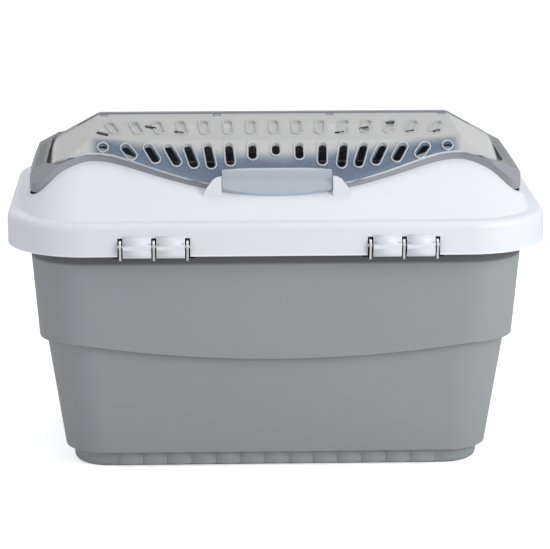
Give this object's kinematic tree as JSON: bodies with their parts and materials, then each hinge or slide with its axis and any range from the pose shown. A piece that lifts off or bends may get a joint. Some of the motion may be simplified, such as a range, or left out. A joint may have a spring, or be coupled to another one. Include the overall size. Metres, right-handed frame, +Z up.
{
  "type": "pet carrier",
  "caption": "Small pet carrier: deep rectangular tub, wide hinged lid with end grips, and a domed top of slotted clear doors with flap latches.",
  "frame": {"origin": "centre of the tub's base on the floor", "axes": "+X along the length, -Y towards the hinge side, +Z up"},
  "size_m": [0.5, 0.3445, 0.3219],
  "materials": {
    "tub_grey": "fine matte moulded",
    "lid_white": "satin moulded",
    "frame_grey": "satin moulded",
    "clear_smoke": "clear smoke-blue plastic",
    "steel": "zinc plated"
  },
  "bodies": {
    "base": {"base_tub": "tub_grey", "hinge_bracket_left": "steel", "hinge_bracket_right": "steel", "hinge_pin_left": "steel", "hinge_pin_right": "steel", "hinge_rivet_left_inner": "steel", "hinge_rivet_left_outer": "steel", "hinge_rivet_right_inner": "steel", "hinge_rivet_right_outer": "steel"},
    "lid": {"lid_shell": "lid_white", "top_frame": "frame_grey", "front_door_rod": "steel", "rear_door_rod": "steel", "clip_pin_left": "steel", "clip_pin_right": "steel"},
    "front_door_body": {"front_door": "clear_smoke", "front_latch_pin_left": "steel", "front_latch_pin_right": "steel"},
    "rear_door_body": {"rear_door": "clear_smoke", "rear_latch_pin_left": "steel", "rear_latch_pin_right": "steel"},
    "front_flap": {"front_latch": "clear_smoke"},
    "rear_flap": {"rear_latch": "clear_smoke"},
    "clip_left": {"rear_clip_left": "frame_grey"},
    "clip_right": {"rear_clip_right": "frame_grey"}
  },
  "joints": [
    {"name": "lid_hinge", "type": "hinge", "parent": "base", "child": "lid", "pos_m": [0, -0.163, 0.226], "axis": [1, 0, 0], "range_deg": [0, 105]},
    {"name": "front_door_hinge", "type": "hinge", "parent": "lid", "child": "front_door_body", "pos_m": [0, -0.007, 0.3165], "axis": [-1, 0, 0], "range_deg": [0, 95]},
    {"name": "rear_door_hinge", "type": "hinge", "parent": "lid", "child": "rear_door_body", "pos_m": [0, 0.007, 0.3165], "axis": [1, 0, 0], "range_deg": [0, 95]},
    {"name": "front_flap_hinge", "type": "hinge", "parent": "front_door_body", "child": "front_flap", "pos_m": [0, -0.107, 0.28172], "axis": [-1, 0, 0], "range_deg": [0, 15]},
    {"name": "rear_flap_hinge", "type": "hinge", "parent": "rear_door_body", "child": "rear_flap", "pos_m": [0, 0.107, 0.28172], "axis": [1, 0, 0], "range_deg": [0, 15]},
    {"name": "clip_left_hinge", "type": "hinge", "parent": "lid", "child": "clip_left", "pos_m": [-0.1135, 0.1696, 0.2355], "axis": [1, 0, 0], "range_deg": [0, 60]},
    {"name": "clip_right_hinge", "type": "hinge", "parent": "lid", "child": "clip_right", "pos_m": [0.1135, 0.1696, 0.2355], "axis": [1, 0, 0], "range_deg": [0, 60]}
  ]
}
